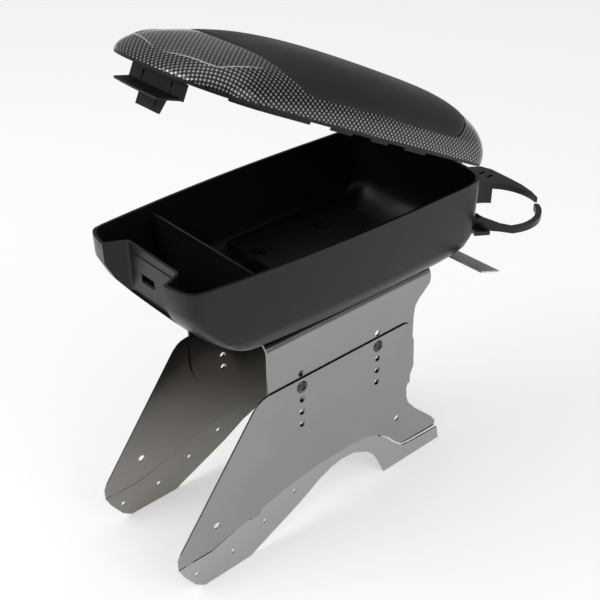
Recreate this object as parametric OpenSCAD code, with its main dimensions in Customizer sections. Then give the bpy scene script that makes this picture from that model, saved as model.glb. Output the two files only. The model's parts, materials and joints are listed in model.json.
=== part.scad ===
// Car centre armrest: a storage box with a padded lid and a rear cup holder,
// carried by a folded steel saddle between two slotted steel legs.
// The origin is on the floor, midway between the legs and midway front to rear.
// The front faces -Y and +Z is up. The lid is drawn as it stands, partly open.

/* [Storage box] */
// Length of the box at its rim
box_l = 332; // [310:1:350]
// Width of the box at its widest
box_w = 168.6; // [160:0.2:180]
// Height of the box from the saddle to its rim
box_h = 85.3; // [80:0.1:100]
// Distance of its widest place from the front
wide_l = 214.5; // [180:0.5:240]
// How much narrower the rim is at the front
front_taper = 27.6; // [0:0.2:40]
// How much narrower the rim is at the rear
rear_taper = 3; // [0:0.2:12]
// Thickness of the moulded walls
wall = 2.6; // [2:0.1:3.4]
// Radius along the sides of the bottom
side_r = 27; // [20:1:32]
// Length of the sweep under the front
sweep_l = 74; // [60:1:79]
// Height of the sweep under the front
sweep_h = 67.3; // [55:0.1:75]
// Length of the round under the rear
heel_l = 40; // [30:1:50]
// Height of the round under the rear
heel_h = 36; // [30:1:60]
// How much the sides and the rear draw in from the rim to the bottom
draft = 2; // [0:0.1:4]
// Height of the raised floor over the saddle
deck_h = 20; // [14:0.5:26]
// Height of the cross wall's edge below the rim
divider_drop = 7; // [4:0.5:20]
// Thickness of the cross wall
divider_t = 2; // [1.5:0.1:3]
// Distance of the cross wall from the front
divider_l = 69.5; // [60:0.5:75]
// Depth of the finger recess in the front wall, from the front edge
recess_d = 19; // [17:0.5:20]
// Half width of the finger recess at its back
recess_w = 34.1; // [31:0.1:36]

/* [Lid] */
// Height of the lid's crown above its rim
crown_h = 46.5; // [42:0.5:54]
// How far the lid reaches past the box at the front
lid_nose = 10.5; // [6:0.5:14]
// How far the lid reaches past the box at the rear
lid_heel = 2.5; // [1:0.1:4]
// Thickness of the shell at its rim
shell_t = 3; // [2.4:0.1:3.4]
// Thickness of the padded insert
pad_t = 6; // [4:0.5:7]
// Thickness of the lid's base panel
base_t = 2.5; // [2:0.1:3.5]
// Angle that the lid stands open at
lid_open = 25.8; // [10:0.2:60]

/* [Latch] */
// Width of the latch plate
latch_w = 68; // [60:1:70]
// Height of the latch plate
latch_h = 13; // [10:0.5:15]
// Width of the hook tab below the plate
hook_w = 34; // [20:1:40]
// Height of the hook tab
hook_h = 15; // [12:0.5:18]
// Radius of the latch pin
latch_pin_r = 1.5; // [1.2:0.1:2]

/* [Saddle and legs] */
// Spacing of the outer faces of the legs
leg_span = 120; // [100:1:126]
// Height of the saddle's top above the floor
saddle_top = 218; // [214:1:222]
// Thickness of the saddle's sheet
saddle_t = 2; // [1.5:0.1:2.5]
// Radius of the saddle's folds
fold_r = 13; // [8:0.5:16]
// Thickness of the legs' sheet
leg_t = 1.5; // [1:0.1:2]
// Lean of the legs' lower strips, in degrees
strip_lean = 8; // [0:1:12]
// Height of the row of holes that the leg screws use
screw_z = 157.6; // [150:0.1:160]
// Spacing between the rows of holes
row_pitch = 13.8; // [12:0.1:16]
// Radius of the adjusting holes
slot_r = 3.2; // [3:0.1:4]
// Radius of the shanks of the leg screws
screw_r = 3; // [2.5:0.1:3]
// Radius of the two mounting holes in each leg
mount_r = 3.25; // [2.5:0.05:4]

/* [Cup holder] */
// Inner radius of the cup ring
ring_r = 44; // [40:0.5:45]
// Centre of the cup ring, across from the middle
ring_x = 58; // [54:1:60]
// Distance of the ring's centre behind the box
ring_back = 39.5; // [38:0.5:44]
// Height of the arms' top below the rim
arm_drop = 50.8; // [40:0.2:60]
// Thickness of the broad arm
beak_t = 6; // [6:0.5:10]
// Thickness of the slim arm
hoop_t = 6; // [4:0.5:6]
// Width of the slim arm's band
hoop_w = 5.5; // [4.5:0.5:7]

/* [Strap] */
// Length of the strap under the box
strap_l = 220; // [190:1:224]
// Width of the strap
strap_w = 14; // [10:0.5:16]
// Thickness of the strap
strap_t = 1.5; // [1:0.1:2]

/* [Fits] */
// Clearance between pieces that stay together
fit_gap = 0.3; // [0.2:0.05:0.5]
// Radial clearance of pins in their bores
pin_gap = 0.05; // [0.03:0.01:0.1]

/* [Hidden] */
$fn = 48;

// Places along the object
front_y = -204.5;
rear_y = front_y + box_l;
wide_y = front_y + wide_l;
rim_z = saddle_top + box_h;
hinge_y = rear_y + 7.5;
hinge_z = rim_z - 3.3;
hinge_x = 27;
hinge_w = 13;
hinge_r = 4.6;
hinge_pin_r = 2;
lid_gap = 0.5;
lid_z = rim_z + lid_gap;
corner_steps = 8;
side_steps = 9;

// Half the rim's width at a place along the box, drawn in by "inset"
function half_w(y, inset) = y < wide_y
    ? box_w / 2 - inset - front_taper / 2 * pow((wide_y - y) / wide_l, 2)
    : box_w / 2 - inset - rear_taper / 2 * pow((y - wide_y) / (rear_y - wide_y), 2);

// The right half of a plan outline, front to rear, with superellipse ends:
// "ends" holds the front, its length and power, then the rear, its length and power
function right_side(ends, inset) = concat(
    [for (i = [0 : corner_steps - 1])
        let (a = 90 * i / corner_steps,
             y = ends[0] + ends[1] - ends[1] * pow(cos(a), 2 / ends[2]))
        [half_w(y, inset) * pow(sin(a), 2 / ends[2]), y]],
    [for (i = [0 : side_steps])
        let (y = ends[0] + ends[1] + (ends[3] - ends[4] - ends[0] - ends[1]) * i / side_steps)
        [half_w(y, inset), y]],
    [for (i = [1 : corner_steps])
        let (a = 90 * i / corner_steps,
             y = ends[3] - ends[4] + ends[4] * pow(sin(a), 2 / ends[5]))
        [half_w(y, inset) * pow(cos(a), 2 / ends[5]), y]]);

function outline(ends, inset) =
    let (side = right_side(ends, inset), last = len(side) - 1)
    concat(side, [for (i = [last - 1 : -1 : 1]) [-side[i].x, side[i].y]]);

function drawn_in(ends, inset) =
    [ends[0] + inset, ends[1], ends[2], ends[3] - inset, ends[4], ends[5]];

// A closed skin over a stack of rings that run counter-clockwise and have equal counts
module skin(rings, flat_start, flat_end) {
    n = len(rings[0]);
    m = len(rings);
    middles = [for (r = [rings[0], rings[m - 1]]) [for (k = [0 : 2]) mean(r, k)]];
    points = concat([for (r = rings) each r], middles);
    start = flat_start
        ? [[for (j = [0 : n - 1]) j]]
        : [for (j = [0 : n - 1]) [j, (j + 1) % n, n * m]];
    end = flat_end
        ? [[for (j = [0 : n - 1]) n * m - 1 - j]]
        : [for (j = [0 : n - 1]) [n * (m - 1) + (j + 1) % n, n * (m - 1) + j, n * m + 1]];
    sides = [for (i = [0 : m - 2], j = [0 : n - 1], half = [0, 1])
        let (k = (j + 1) % n)
        half == 0
            ? [i * n + j, (i + 1) * n + j, (i + 1) * n + k]
            : [i * n + j, (i + 1) * n + k, i * n + k]];
    polyhedron(points, concat(start, sides, end), convexity = 6);
}

function mean(ring, k) = sum([for (p = ring) p[k]]) / len(ring);
function sum(v, i = 0) = i == len(v) ? 0 : v[i] + sum(v, i + 1);

// Plan outlines
rim_ends = [front_y, 19, 3.6, rear_y, 34, 3.6];
lid_ends = [front_y - lid_nose, 52, 2.6, rear_y + lid_heel, 40, 2.5];
pad_ends = [front_y + 54, 46, 3, rear_y - 32, 46, 2.4];
lid_out = -0.5;
pad_inset = 3.5;

// How far a round has drawn in at height h above its foot, as a superellipse's quarter
function round_in(len, height, power, h) = h >= height ? 0
    : len * (1 - pow(1 - pow((height - h) / height, power), 1 / power));
sweep_p = 1.4;
side_p = 1.5;
heel_p = 1.7;

// Plan of the box at height h above its bottom, drawn in by "inset" all round
function box_plan(h, inset) =
    let (up = h - inset, lean = draft * (1 - h / box_h))
    outline([rim_ends[0] + inset + round_in(sweep_l - inset, sweep_h - inset, sweep_p, up),
             rim_ends[1], rim_ends[2],
             rim_ends[3] - inset - lean - round_in(heel_l - inset, heel_h - inset, heel_p, up),
             rim_ends[4], rim_ends[5]],
            inset + lean + round_in(side_r - inset, side_r - inset, side_p, up));

function box_ring(h, inset) = [for (p = box_plan(h, inset)) [p.x, p.y, saddle_top + h]];

// Levels from the bottom to the rim, close together where the rounds are steep
levels = [0, 0.006, 0.022, 0.055, 0.1, 0.16, 0.24, 0.34, 0.46, 0.6, 0.78, 1];

// The rings of the box from its bottom to its rim, drawn in by "inset"
function box_rings(inset) = [for (t = levels) box_ring(inset + t * (box_h - inset), inset)];

module box_body(inset) {
    skin(box_rings(inset), true, true);
}

/* Storage box */
saddle_w = leg_span - 2 * leg_t;
nut_r = 5.8;
deck_front = -57;
deck_rear = 75;
tower_x = saddle_w / 2 - fold_r - nut_r * cos(30) - fit_gap;
tower_y = [-46, 31];
tower_r = 11;
pocket_side = 8;
pocket_w = tower_x + pocket_side;
sink_r = 7.5;
sink_d = 9;
deck_screw_r = 3;
divider_y = front_y + divider_l;
recess_back = front_y + recess_d;
recess_flare = 43;
recess_r = 5;
recess_foot = 39;
panel_w = 28.5;
panel_t = 0.8;
panel_low = 22;
panel_high = 7.5;
catch_from = -17;
catch_w = 18;
catch_low = 31;
catch_high = 23;
boss_r = 5;
seat_from = -20;
seat_w = 42;
seat_drop = 12;

// Half of the finger recess's plan: a leaning flank and a rounded corner at the back
recess_lean = atan2(recess_flare - recess_w, recess_d);
recess_c = [recess_w + recess_r * (tan(recess_lean) - 1 / cos(recess_lean)), recess_back - recess_r];
function recess_side(grow) = concat(
    [[recess_flare + tan(recess_lean) + grow / cos(recess_lean), front_y - 1]],
    [for (i = [0 : 6])
        let (a = recess_lean + (90 - recess_lean) * i / 6)
        recess_c + (recess_r + grow) * [cos(a), sin(a)]]);

module recess_plan(grow) {
    side = recess_side(grow);
    polygon(concat(side, [for (i = [len(side) - 1 : -1 : 0]) [-side[i].x, side[i].y]]));
}

// The raised floor and the bulge behind the finger recess, which end inside the walls
module inner_forms() {
    intersection() {
        union() {
            translate([-box_w / 2, deck_front, saddle_top])
                cube([box_w, deck_rear - deck_front, deck_h]);
            translate([0, 0, saddle_top + recess_foot - wall])
                linear_extrude(box_h - recess_foot + wall)
                    recess_plan(wall);
        }
        box_body(wall / 2);
    }
}

// Bosses over the strap and the seat of the cup holder, which fill up the rounded heel
module outer_forms() {
    difference() {
        union() {
            for (x = [-strap_screw_x, strap_screw_x])
                translate([x, strap_y + strap_w / 2, strap_z])
                    cylinder(r = boss_r, h = heel_h / 2);
            translate([seat_from, rear_y - heel_l / 2, shelf_z - seat_drop])
                cube([seat_w, heel_l / 2, seat_drop + shelf_t]);
        }
        box_body(wall / 2);
    }
}

module hinge_ears(side) {
    for (end = [-1, 1])
        translate([side * hinge_x + end * (hinge_w / 2 + fit_gap + 2), 0, 0]) {
            translate([-2, rear_y - wall - 1.4, hinge_z - hinge_r - 4])
                cube([4, hinge_y - rear_y + wall + 1.4, 2 * hinge_r]);
            translate([0, hinge_y, hinge_z])
                rotate([0, 90, 0])
                    cylinder(r = hinge_r, h = 4, center = true);
        }
}

module box_tub() {
    color("#1b1b1c")
    difference() {
        union() {
            let (inner = box_rings(wall))
                skin(concat(box_rings(0), [for (i = [len(inner) - 1 : -1 : 0]) inner[i]]), true, true);
            inner_forms();
            outer_forms();
            hinge_ears(1);
            hinge_ears(-1);
        }
        // Finger recess, open at the rim, with a raised panel on its back wall
        difference() {
            translate([0, 0, saddle_top + recess_foot])
                linear_extrude(box_h)
                    recess_plan(0);
            translate([-panel_w, recess_back - panel_t, rim_z - panel_low])
                cube([2 * panel_w, wall, panel_low - panel_high]);
        }
        // Slot below the panel for the latch hook
        translate([catch_from, recess_back - 1, rim_z - catch_low])
            cube([catch_w, wall + 2, catch_low - catch_high]);
        // Hollow under the raised floor, between the screw towers
        difference() {
            translate([-pocket_w, deck_front + wall, saddle_top - 1])
                cube([2 * pocket_w, deck_rear - deck_front - 2 * wall, deck_h - wall + 1]);
            for (x = [-tower_x, tower_x], y = tower_y)
                translate([x, y, saddle_top - 2])
                    cylinder(r = tower_r, h = deck_h + 2);
        }
        for (x = [-tower_x, tower_x], y = tower_y) {
            translate([x, y, saddle_top - 1])
                cylinder(r = deck_screw_r + fit_gap, h = deck_h + 2);
            translate([x, y, saddle_top + deck_h - sink_d])
                cylinder(r = sink_r, h = sink_d + 1);
        }
        // Bores of the hinge pins
        translate([0, hinge_y, hinge_z])
            rotate([0, 90, 0])
                cylinder(r = hinge_pin_r + pin_gap, h = box_w, center = true);
        cup_screw_bores();
        strap_screw_bores();
    }
}

// A cross wall that drops into the box ahead of the raised floor and fits its section
module divider() {
    color("#202021")
    intersection() {
        translate([-box_w, divider_y - divider_t / 2, saddle_top])
            cube([2 * box_w, divider_t, box_h - divider_drop]);
        box_body(wall + fit_gap);
    }
}

/* Saddle */
saddle_foot = 90.5;
saddle_front = -119;
saddle_rear = 60.5;
hole_y = [-82, 11.8];

// Side view of the saddle: a rounded front corner, and a foot that flares at the rear
module saddle_side() {
    corner = 48;
    polygon([[saddle_front, saddle_foot + corner], [saddle_front + corner, saddle_foot],
             [saddle_rear, saddle_foot], [saddle_rear, saddle_top - 47],
             [saddle_rear + 1.5, saddle_top - 37.5], [saddle_rear + 5.5, saddle_top - 32],
             [saddle_rear + 14, saddle_top - 25], [saddle_rear + 20, saddle_top - 19.5],
             [saddle_rear + 20.5, saddle_top - 15], [saddle_rear + 20.5, saddle_top + 1],
             [saddle_front, saddle_top + 1]]);
    intersection() {
        translate([saddle_front + corner, saddle_foot + corner])
            circle(r = corner, $fn = 64);
        translate([saddle_front, saddle_foot])
            square(corner);
    }
}

module saddle_section(inset) {
    half = saddle_w / 2 - inset;
    r = fold_r - inset;
    translate([-half, saddle_foot - 1 - inset])
        square([2 * half, saddle_top - saddle_foot + 1 - r]);
    translate([-half + r, saddle_top - r - inset - 1])
        square([2 * half - 2 * r, r + 1]);
    for (x = [-half + r, half - r])
        translate([x, saddle_top - inset - r])
            circle(r = r);
}

module saddle_bracket() {
    color("#6b675f")
    difference() {
        intersection() {
            rotate([90, 0, 0])
                linear_extrude(400, center = true)
                    difference() {
                        saddle_section(0);
                        saddle_section(saddle_t);
                    }
            rotate([90, 0, 90])
                linear_extrude(2 * leg_span, center = true)
                    saddle_side();
        }
        for (y = hole_y, k = [-3 : 1])
            translate([0, y, screw_z + k * row_pitch])
                rotate([0, 90, 0])
                    cylinder(r = slot_r, h = 2 * leg_span, center = true);
        for (x = [-tower_x, tower_x], y = tower_y)
            translate([x, y, saddle_top - saddle_t - 1])
                cylinder(r = deck_screw_r + fit_gap, h = saddle_t + 2);
    }
}

/* Legs */
lean_z = 31;
mount_y = [-182, 42.6];
mount_z = 56;
strip_hole_r = 2;
foot_z = 0;

module plate_outline() {
    polygon([[-120.3, 166.5], [-126, 165.5], [-131, 163], [-136, 158.5], [-221.5, 46.6],
             [-224.6, 40.3], [-224.6, 31.4],
             [-189.5, 30.9], [-108.2, 49.8], [-84, 54.2], [-59, 56.5], [-19, 56.8], [2, 54.2],
             [19.4, 47], [32, 37], [43, 24.9], [52, 18], [63.5, 16.4], [101.3, 14.8],
             [101.7, 21.6], [95.5, 30.2], [69.4, 54.6], [58.2, 68.1], [55.5, 75.8], [54.6, 87.5],
             [57.4, 98.4], [62.8, 111.6], [61.1, 142.1], [52.5, 165], [47, 166.5]]);
}

module strip_outline() {
    slit = 1.3;
    polygon([[-225, 31.4 - slit], [-221.1, 20.9], [-211.1, 6], [-205, 1.5], [-198, foot_z - 2],
             [-152.9, foot_z - 2], [-142.7, 2.6], [-132.1, 6.6], [-85.3, 24.5], [-59, 36.9],
             [-44, 41.6], [-29.8, 43.6], [-14.5, 42.5], [3.1, 34.4], [12.3, 25.1], [16.2, 17.6],
             [21.5, 4.5], [23.5, foot_z - 2], [104.5, foot_z - 2], [103, 14.8 - slit],
             [63.5, 16.4 - slit], [51.4, 18 - slit], [42, 24.9 - slit], [31, 37 - slit],
             [18.7, 47 - slit], [1.7, 54.2 - slit], [-19, 56.8 - slit], [-59, 56.5 - slit],
             [-84, 54.2 - slit], [-108, 49.8 - slit], [-189.5, 30.9 - slit]]);
}

// Where the strip stays joined to the plate: its place along the leg and its length
bridges = [[-218, 8], [-145, 12], [20, 12]];

// One leg: a flat plate and below it a strip that leans, bridged at three places
module leg_sheet(side) {
    x0 = side * (leg_span / 2 - leg_t / 2);
    difference() {
        union() {
            translate([x0, 0, 0])
                rotate([90, 0, 90])
                    linear_extrude(leg_t, center = true)
                        plate_outline();
            intersection() {
                translate([x0, 0, lean_z])
                    rotate([0, -strip_lean, 0])
                        translate([0, 0, -lean_z])
                            rotate([90, 0, 90])
                                linear_extrude(leg_t, center = true)
                                    strip_outline();
                translate([-leg_span, -400, foot_z])
                    cube([2 * leg_span, 800, 80]);
            }
            for (b = bridges)
                translate([x0 - leg_t / 2 - (bridge_z(b[0]) - lean_z) * tan(strip_lean) * 0.6,
                           b[0], bridge_z(b[0]) - 3])
                    cube([leg_t + abs(bridge_z(b[0]) - lean_z) * tan(strip_lean) * 0.6, b[1], 6]);
        }
        leg_holes(x0);
    }
}

// Height of the slit at a bridge
function bridge_z(y) = lookup(y, [[-224, 31], [-189.5, 31], [-108, 49.8], [2, 54], [20, 46.5]]);

module leg_holes(x0) {
    for (y = hole_y, k = [-3 : 0])
        translate([x0, y, screw_z + k * row_pitch])
            rotate([0, 90, 0])
                cylinder(r = slot_r, h = 6 * leg_t, center = true);
    for (y = mount_y)
        translate([x0, y, mount_z])
            rotate([0, 90, 0])
                cylinder(r = mount_r, h = 6 * leg_t, center = true);
    for (p = [[-208.3, 16], [-167.5, 17], [-129, 27.7], [-91, 40]])
        translate([x0, p[0], p[1]])
            rotate([0, 90, 0])
                cylinder(r = strip_hole_r, h = 16 * leg_t, center = true);
}

module left_leg() {
    color("#77736b")
    leg_sheet(-1);
}

module right_leg() {
    color("#77736b")
    leg_sheet(1);
}

/* Leg screws and nuts */
head_r = 6;
head_t = 2.6;
nut_t = 4.5;
shank_l = leg_t + saddle_t + nut_t + 2;

module leg_screws() {
    color("#8d8a84")
    for (side = [-1, 1], y = hole_y)
        translate([side * leg_span / 2, y, screw_z])
            rotate([0, side * 90, 0])
                difference() {
                    union() {
                        intersection() {
                            cylinder(r = head_r, h = head_t);
                            translate([0, 0, head_t - 9])
                                sphere(r = 9);
                        }
                        translate([0, 0, -shank_l])
                            cylinder(r = screw_r, h = shank_l + 1);
                    }
                    for (a = [0, 90])
                        rotate(a)
                            translate([-3, -0.6, head_t - 1.4])
                                cube([6, 1.2, 2]);
                }
}

module leg_nuts() {
    color("#8d8a84")
    for (side = [-1, 1], y = hole_y)
        translate([side * (leg_span / 2 - leg_t - saddle_t), y, screw_z])
            rotate([0, -side * 90, 0])
                difference() {
                    cylinder(r = nut_r, h = nut_t, $fn = 6);
                    translate([0, 0, -1])
                        cylinder(r = screw_r + pin_gap, h = nut_t + 2);
                }
}

/* Screws that hold the box to the saddle */
deck_head_r = 5.5;
deck_head_t = 3;
deck_nut_t = 5;

module deck_screws() {
    color("#3a3a3a")
    for (x = [-tower_x, tower_x], y = tower_y)
        translate([x, y, saddle_top + deck_h - sink_d]) {
            difference() {
                cylinder(r = deck_head_r, h = deck_head_t);
                translate([0, 0, 1])
                    cylinder(r = 2.9, h = deck_head_t, $fn = 6);
            }
            translate([0, 0, -deck_h + sink_d - saddle_t - deck_nut_t - 2])
                cylinder(r = deck_screw_r, h = deck_h - sink_d + saddle_t + deck_nut_t + 2.5);
        }
}

module deck_nuts() {
    color("#8d8a84")
    for (x = [-tower_x, tower_x], y = tower_y)
        translate([x, y, saddle_top - saddle_t - deck_nut_t])
            difference() {
                rotate(30)
                    cylinder(r = nut_r, h = deck_nut_t, $fn = 6);
                translate([0, 0, -1])
                    cylinder(r = deck_screw_r + pin_gap, h = deck_nut_t + 2);
            }
}

/* Lid */
// Crown of the lid along its middle line
crown_front = lid_ends[0];
crown_rear = lid_ends[3];
function crown(y, top) = y < -5
    ? top * pow(max(0, 1 - pow((-5 - y) / (-5 - crown_front), 2.8)), 0.75)
    : y < 40 ? top
    : top * pow(max(0, 1 - pow((y - 40) / (crown_rear - 40), 2.8)), 0.5);

// Half the lid's width at y, with its rounded nose and heel
function lid_half(y, inset) =
    let (f = lid_ends[0] + inset,
         r = lid_ends[3] - inset,
         t = y < f + lid_ends[1] ? (f + lid_ends[1] - y) / lid_ends[1]
           : y > r - lid_ends[4] ? (y - r + lid_ends[4]) / lid_ends[4] : 0,
         power = y < wide_y ? lid_ends[2] : lid_ends[5])
    half_w(y, inset + lid_out) * pow(max(0, 1 - pow(min(1, t), power)), 1 / power);

// Height of the lid's surface above its rim plane, and of its hollow
function lid_h(p, inset, top) =
    let (w = max(0.01, lid_half(p.y, inset)),
         side = max(0, 1 - pow(min(1, abs(p.x) / w), 3.4)))
    crown(p.y, top) * sqrt(side);

lid_ring_out = outline(lid_ends, lid_out);
lid_ring_in = outline(drawn_in(lid_ends, shell_t), lid_out + shell_t);
pad_ring = outline(pad_ends, lid_out + pad_inset);
middle = [0, -25];

function toward(p, q, t) = p + (q - p) * t;
function outer_z(p) = base_t + lid_h(p, 0, crown_h - base_t);
function inner_z(p) = base_t + max(0, lid_h(p, shell_t, crown_h) - pad_t - 2.6 - base_t);

module on_lid() {
    translate([0, hinge_y, hinge_z])
        rotate([-lid_open, 0, 0])
            translate([0, -hinge_y, lid_z - hinge_z])
                children();
}

// The outer moulding: a crowned shell with a seat for the padded insert
module lid_shell() {
    color("#46484b")
    on_lid()
        skin(concat(
            [for (t = [0.25, 0.55, 0.8, 0.95, 1]) [for (q = pad_ring)
                let (p = toward(middle, q, t)) [p.x, p.y, outer_z(p) - pad_t]]],
            [for (t = [0, 0.15, 0.4, 0.65, 0.85, 0.96]) [for (i = [0 : len(pad_ring) - 1])
                let (p = toward(pad_ring[i], lid_ring_out[i], t)) [p.x, p.y, outer_z(p)]]],
            [[for (p = lid_ring_out) [p.x, p.y, base_t]]],
            [[for (p = lid_ring_in) [p.x, p.y, base_t]]],
            [for (t = [0.96, 0.88, 0.75, 0.5, 0.25]) [for (q = lid_ring_in)
                let (p = toward(middle, q, t)) [p.x, p.y, inner_z(p)]]]), false, false);
}

// The padded insert: a thin cushion that fills the seat and swells a little above it
pad_swell = 2.3;

module lid_pad() {
    color("#2b2a29")
    on_lid()
        skin(concat(
            [for (t = [0.25, 0.55, 0.8, 0.94]) [for (q = pad_ring)
                let (p = toward(middle, q, t)) [p.x, p.y, outer_z(p) - pad_t + fit_gap]]],
            [for (t = [0.99, 0.98, 0.95, 0.88, 0.75, 0.5, 0.25]) [for (q = pad_ring)
                let (p = toward(middle, q, t))
                [p.x, p.y, outer_z(p) - 0.8 * pow(t, 20) + pad_swell * (1 - pow(t, 6))]]]
            ), false, false);
}

/* Lid base */
knuckle_z = hinge_z - lid_z;
tab_spans = [[-179, -112], [-90, -67], [-45, -25], [-3, 25]];
ear_x = 22.3;
ear_t = 2.4;
ear_r = 3;
latch_y = front_y + 12.5;
latch_z = -6;

module lid_base() {
    color("#161617")
    on_lid()
    difference() {
        union() {
            linear_extrude(base_t)
                polygon(outline(drawn_in(lid_ends, fit_gap), lid_out + fit_gap));
            // Stiffening ring that stands inside the shell
            translate([0, 0, base_t / 2])
                linear_extrude(base_t / 2 + 3)
                    difference() {
                        polygon(outline(drawn_in(lid_ends, shell_t + 24), lid_out + shell_t + 6));
                        polygon(outline(drawn_in(lid_ends, shell_t + 26), lid_out + shell_t + 8));
                    }
            // Tabs under the rim that keep the closed lid in line with the box
            translate([0, 0, -2.5])
                linear_extrude(2.5 + base_t / 2)
                    intersection() {
                        difference() {
                            polygon(outline(drawn_in(lid_ends, 16), lid_out + wall + 1.6));
                            polygon(outline(drawn_in(lid_ends, 18), lid_out + wall + 3.2));
                        }
                        for (s = tab_spans)
                            translate([-box_w / 2, s[0]])
                                square([box_w, s[1] - s[0]]);
                    }
            // Hinge knuckles
            for (x = [-hinge_x, hinge_x]) {
                translate([x - hinge_w / 2, rear_y - 12, 0])
                    cube([hinge_w, hinge_y - rear_y + 12, base_t]);
                translate([x, hinge_y, knuckle_z])
                    rotate([0, 90, 0])
                        cylinder(r = hinge_r + 0.2, h = hinge_w, center = true);
            }
            // Ears of the latch pin
            for (x = [-ear_x, ear_x]) {
                translate([x, latch_y, latch_z])
                    rotate([0, 90, 0])
                        cylinder(r = ear_r, h = ear_t, center = true);
                translate([x - ear_t / 2, latch_y - ear_r + 0.5, latch_z])
                    cube([ear_t, 2 * ear_r - 1, base_t / 2 - latch_z]);
            }
        }
        translate([0, hinge_y, knuckle_z])
            rotate([0, 90, 0])
                cylinder(r = hinge_pin_r + pin_gap, h = box_w, center = true);
        translate([0, latch_y, latch_z])
            rotate([0, 90, 0])
                cylinder(r = latch_pin_r + pin_gap, h = box_w, center = true);
    }
}

module hinge_pins() {
    color("#a9a9a9")
    for (x = [-hinge_x, hinge_x])
        translate([x, hinge_y, hinge_z])
            rotate([0, 90, 0])
                cylinder(r = hinge_pin_r, h = hinge_w + 2 * fit_gap + 8, center = true);
}

/* Latch */
latch_plate_t = 2;
lip_d = 14.5;
lip_t = 1.8;
lip_droop = 16;
lip_cut = 9;
lip_bow = 2.5;
hook_from = -14;
hook_tip_w = 12;
lug_x = 13;
lug_t = 3.6;
slit_x = 18;

// Plan of the lip: its front edge bows back at one end and is cut back at the other
module lip_plan() {
    root = latch_w / 2 - 0.5;
    tip = [-latch_w / 2 - 1, latch_w / 2 - lip_cut];
    polygon(concat([[root, 1], [-root, 1]],
                   [for (t = [0 : 0.2 : 1])
                       [tip[0] + (tip[1] - tip[0]) * t, lip_bow * pow(1 - t, 3) - lip_d]]));
}

module latch_lever() {
    top = -1.6;
    foot = -latch_h - 1;
    face = latch_y - 6;
    color("#1d1d1e")
    on_lid()
    difference() {
        union() {
            // Plate under the lid's nose
            translate([-latch_w / 2, face, foot])
                cube([latch_w, latch_plate_t, top - foot]);
            // Lip for the fingers, which droops forward from the plate's lower edge
            translate([0, face, foot])
                rotate([lip_droop, 0, 0])
                    linear_extrude(lip_t)
                        lip_plan();
            // Hook tab with its cut corner, its raised pad and the hook behind it
            translate([0, face + latch_plate_t, 0])
                rotate([90, 0, 0])
                    linear_extrude(latch_plate_t)
                        polygon([[-hook_w / 2, foot + 1], [-hook_w / 2, foot - hook_h],
                                 [hook_w / 2 - 5, foot - hook_h], [hook_w / 2, foot + 1]]);
            translate([-9, face - 0.8, foot - hook_h + 3])
                cube([15, 1.8, hook_h - 7]);
            translate([hook_from, face + 1, foot - hook_h + 1])
                cube([hook_tip_w, recess_back - panel_t - fit_gap - face - 1, 2.5]);
            // Lugs round the pin
            for (x = [-lug_x, lug_x]) {
                translate([x, latch_y, latch_z])
                    rotate([0, 90, 0])
                        cylinder(r = 3, h = lug_t, center = true);
                translate([x - lug_t / 2, face + 1, latch_z - 2.4])
                    cube([lug_t, latch_y - face - 1, 4.8]);
            }
        }
        translate([0, latch_y, latch_z])
            rotate([0, 90, 0])
                cylinder(r = latch_pin_r + pin_gap, h = latch_w, center = true);
        for (x = [-slit_x, slit_x])
            translate([x - 1, face - 1, foot + 2.5])
                cube([2, latch_plate_t + 2, latch_h - 5.5]);
    }
}

module latch_pin() {
    color("#a9a9a9")
    on_lid()
        translate([0, latch_y, latch_z])
            rotate([0, 90, 0])
                cylinder(r = latch_pin_r, h = 2 * ear_x + ear_t, center = true);
}

// A coil round the pin, swept as a hexagon along a helix
module latch_spring() {
    turns = 5;
    steps = 12;
    coil_r = latch_pin_r + 0.8;
    wire = 0.45;
    color("#b5b5b5")
    on_lid()
        translate([-6, latch_y, latch_z])
            rotate([0, 90, 0])
                skin([for (i = [0 : turns * steps])
                    let (a = 360 * i / steps)
                    [for (k = [0 : 5])
                        let (b = -60 * k, r = coil_r + wire * cos(b))
                        [r * cos(a), r * sin(a), 2.4 * i / steps + wire * sin(b)]]], true, true);
}

/* Cup holder */
ring_y = rear_y + ring_back;
arm_z = rim_z - arm_drop;
shelf_t = 4;
shelf_z = arm_z - beak_t - fit_gap - shelf_t;
flange_t = 3.4;
beak_root = 9;
hoop_root = 7;
beak_pivot = [-6, rear_y + 9];
hoop_pivot = [66, rear_y + 4];
cup_pin_r = 2.5;

// The shelf that carries both arms, shaped to the rear of the box
module cup_bracket() {
    corner = [[0, -20], [70, -20], [78, -8.5], [85, 2], [hoop_pivot.x, 4], [0, 4]];
    color("#232324")
    difference() {
        union() {
            translate([0, 0, shelf_z])
                linear_extrude(shelf_t)
                    difference() {
                        union() {
                            translate([seat_from, rear_y - heel_l / 2])
                                square([seat_w, heel_l / 2 + 4]);
                            translate([0, rear_y])
                                polygon(corner);
                            translate(beak_pivot)
                                circle(r = beak_root);
                            translate(hoop_pivot)
                                circle(r = hoop_root);
                        }
                        polygon(outline(drawn_in(rim_ends, -fit_gap), -fit_gap));
                    }
            // Flange on the seat at the box's rear
            translate([seat_from, rear_y + fit_gap, shelf_z - seat_drop])
                cube([seat_w, flange_t, seat_drop + shelf_t]);
        }
        for (p = [beak_pivot, hoop_pivot])
            translate([p.x, p.y, shelf_z - 1])
                cylinder(r = cup_pin_r + pin_gap, h = shelf_t + 2);
        cup_screw_bores();
    }
}

cup_screw_x = [-13, 14];
cup_screw_r = 2;

module cup_screw_bores() {
    for (x = cup_screw_x)
        translate([x, rear_y - 10, shelf_z - seat_drop / 2])
            rotate([-90, 0, 0])
                cylinder(r = cup_screw_r + pin_gap, h = 20);
}

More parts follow.
